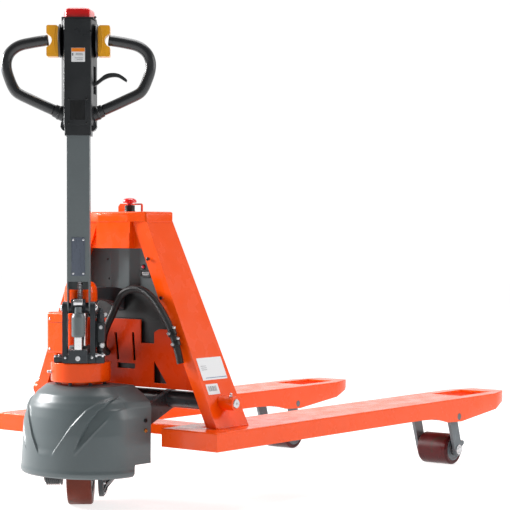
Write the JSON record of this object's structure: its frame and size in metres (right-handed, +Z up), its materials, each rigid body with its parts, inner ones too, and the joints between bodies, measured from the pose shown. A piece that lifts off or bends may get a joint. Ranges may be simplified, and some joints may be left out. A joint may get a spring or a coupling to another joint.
{
  "type": "pallet jack",
  "caption": "Semi-electric pallet truck: twin forks on a lifting chassis, steered powered wheel under a moulded cover, manual pump and a tiller with grip loops.",
  "frame": {"origin": "on the floor under the middle of the bounding box", "axes": "+X towards the fork tips (longest), +Y towards the left fork as seen by the operator (shortest), +Z up"},
  "size_m": [1.4788, 0.685, 1.099],
  "materials": {
    "orange_paint": "gloss powder coat",
    "cover_grey": "satin moulded",
    "tube_grey": "satin paint",
    "charcoal_plastic": "fine grain moulded",
    "black_plastic": "moulded",
    "grip_rubber": "soft moulded grip",
    "red_plastic": "gloss",
    "yellow_plastic": "satin gloss",
    "bright_steel": "machined",
    "chrome": "polished",
    "dark_paint": "semi-gloss paint",
    "drive_tread": "polyurethane tread",
    "load_tread": "polyurethane tread"
  },
  "bodies": {
    "carrier": {"bearing_ring": "orange_paint", "carrier_yoke": "dark_paint", "drive_cover": "cover_grey"},
    "chassis": {"fork_left": "orange_paint", "fork_right": "orange_paint", "side_frame_left": "orange_paint", "side_frame_right": "orange_paint", "crown": "orange_paint", "back_plate": "orange_paint", "cross_beam": "orange_paint", "battery_cover": "cover_grey", "battery": "black_plastic", "status_lamp": "red_plastic", "charge_gauge": "black_plastic", "front_panel": "orange_paint", "pump_guard": "black_plastic", "charger_box": "orange_paint", "estop_collar": "black_plastic", "lift_cup": "orange_paint", "lift_arm": "dark_paint", "lift_ram": "chrome", "harness": "black_plastic", "rocker_pin_left": "bright_steel", "rocker_pin_right": "bright_steel", "bracket_pin_left": "bright_steel", "bracket_pin_right": "bright_steel"},
    "estop_button": {"estop_button": "red_plastic"},
    "rocker": {"rocker": "dark_paint"},
    "push_rod_left": {"push_rod_left": "dark_paint"},
    "push_rod_right": {"push_rod_right": "dark_paint"},
    "load_bracket_left": {"load_bracket_left": "dark_paint", "roller_axle_left": "bright_steel"},
    "load_bracket_right": {"load_bracket_right": "dark_paint", "roller_axle_right": "bright_steel"},
    "load_roller_left": {"load_roller_left": "load_tread"},
    "load_roller_right": {"load_roller_right": "load_tread"},
    "drive_unit": {"drive_fork": "dark_paint", "gearbox": "charcoal_plastic", "drive_motor": "charcoal_plastic", "pump_body": "dark_paint", "lift_barrel": "dark_paint", "release_valve": "dark_paint", "tiller_pin": "bright_steel"},
    "drive_wheel": {"drive_wheel": "drive_tread"},
    "plunger": {"plunger": "tube_grey"},
    "tiller": {"tiller_tube": "tube_grey", "pump_crank": "tube_grey", "tiller_head": "charcoal_plastic", "head_cap": "black_plastic", "paddle_hub_left": "charcoal_plastic", "paddle_hub_right": "charcoal_plastic", "grip_left": "grip_rubber", "grip_right": "grip_rubber", "grip_socket_left": "charcoal_plastic", "grip_socket_right": "charcoal_plastic"},
    "pressure_roller": {"pressure_roller": "bright_steel"},
    "belly_button": {"belly_button": "red_plastic"},
    "paddle_left": {"paddle_left": "yellow_plastic"},
    "paddle_right": {"paddle_right": "yellow_plastic"},
    "lowering_lever": {"lowering_lever": "charcoal_plastic"}
  },
  "joints": [
    {"name": "lift", "type": "slide", "parent": "carrier", "child": "chassis", "axis": [0, 0, 1], "range_m": [-0.092, 0]},
    {"name": "estop_press", "type": "slide", "parent": "chassis", "child": "estop_button", "axis": [0, 0, -1], "range_m": [0, 0.005]},
    {"name": "rocker_turn", "type": "hinge", "parent": "chassis", "child": "rocker", "pos_m": [-0.40862, 0, 0.231], "axis": [0, 1, 0], "range_deg": [0, 29]},
    {"name": "push_rod_travel_left", "type": "slide", "parent": "chassis", "child": "push_rod_left", "axis": [1, 0, 0], "range_m": [-0.04, 0]},
    {"name": "load_bracket_turn_left", "type": "hinge", "parent": "chassis", "child": "load_bracket_left", "pos_m": [0.46238, 0.2625, 0.13], "axis": [0, 1, 0], "range_deg": [-73.5, 0]},
    {"name": "load_roller_spin_left", "type": "hinge", "parent": "load_bracket_left", "child": "load_roller_left", "pos_m": [0.49138, 0.2625, 0.04], "axis": [0, 1, 0], "continuous": true},
    {"name": "push_rod_travel_right", "type": "slide", "parent": "chassis", "child": "push_rod_right", "axis": [1, 0, 0], "range_m": [-0.04, 0]},
    {"name": "load_bracket_turn_right", "type": "hinge", "parent": "chassis", "child": "load_bracket_right", "pos_m": [0.46238, -0.2625, 0.13], "axis": [0, 1, 0], "range_deg": [-73.5, 0]},
    {"name": "load_roller_spin_right", "type": "hinge", "parent": "load_bracket_right", "child": "load_roller_right", "pos_m": [0.49138, -0.2625, 0.04], "axis": [0, 1, 0], "continuous": true},
    {"name": "steer", "type": "hinge", "parent": "carrier", "child": "drive_unit", "pos_m": [-0.57662, 0, 0.2973], "axis": [0, 0, 1], "range_deg": [-126, 44]},
    {"name": "drive_wheel_spin", "type": "hinge", "parent": "drive_unit", "child": "drive_wheel", "pos_m": [-0.57662, 0, 0.1], "axis": [0.6561, -0.7547, 0], "continuous": true},
    {"name": "tiller_tilt", "type": "hinge", "parent": "drive_unit", "child": "tiller", "pos_m": [-0.62396, -0.04115, 0.44197], "axis": [0.6561, -0.7547, 0], "range_deg": [0, 80], "stiffness_Nm_per_rad": 22, "springref_deg": -14.32},
    {"name": "plunger_stroke", "type": "slide", "parent": "drive_unit", "child": "plunger", "axis": [0, 0, -1], "range_m": [0, 0.0392]},
    {"name": "pressure_roller_spin", "type": "hinge", "parent": "tiller", "child": "pressure_roller", "pos_m": [-0.64245, -0.05722, 0.4551], "axis": [0.6561, -0.7547, 0], "continuous": true},
    {"name": "belly_press", "type": "slide", "parent": "tiller", "child": "belly_button", "axis": [0, 0, -1], "range_m": [0, 0.008], "stiffness_N_per_m": 600, "springref_m": -0.006},
    {"name": "paddle_turn_left", "type": "hinge", "parent": "tiller", "child": "paddle_left", "pos_m": [-0.65535, -0.00504, 1.02801], "axis": [0.6561, -0.7547, 0], "range_deg": [-35, 35], "stiffness_Nm_per_rad": 0.6},
    {"name": "paddle_turn_right", "type": "hinge", "parent": "tiller", "child": "paddle_right", "pos_m": [-0.59256, -0.07726, 1.02801], "axis": [0.6561, -0.7547, 0], "range_deg": [-35, 35], "stiffness_Nm_per_rad": 0.6},
    {"name": "lowering_squeeze", "type": "hinge", "parent": "tiller", "child": "lowering_lever", "pos_m": [-0.60261, -0.0657, 0.93138], "axis": [-0.7547, -0.6561, 0], "range_deg": [0, 12], "stiffness_Nm_per_rad": 0.4, "springref_deg": -8.59}
  ],
  "couplings": [
    {"joint": "rocker_turn", "follows": "lift", "rad_per_m": -5.45},
    {"joint": "push_rod_travel_left", "follows": "lift", "ratio": 0.4283},
    {"joint": "load_bracket_turn_left", "follows": "lift", "rad_per_m": 13.915},
    {"joint": "push_rod_travel_right", "follows": "lift", "ratio": 0.4283},
    {"joint": "load_bracket_turn_right", "follows": "lift", "rad_per_m": 13.915},
    {"joint": "plunger_stroke", "follows": "tiller_tilt", "m_per_rad": 0.0274},
    {"joint": "paddle_turn_right", "follows": "paddle_turn_left", "ratio": 1}
  ]
}
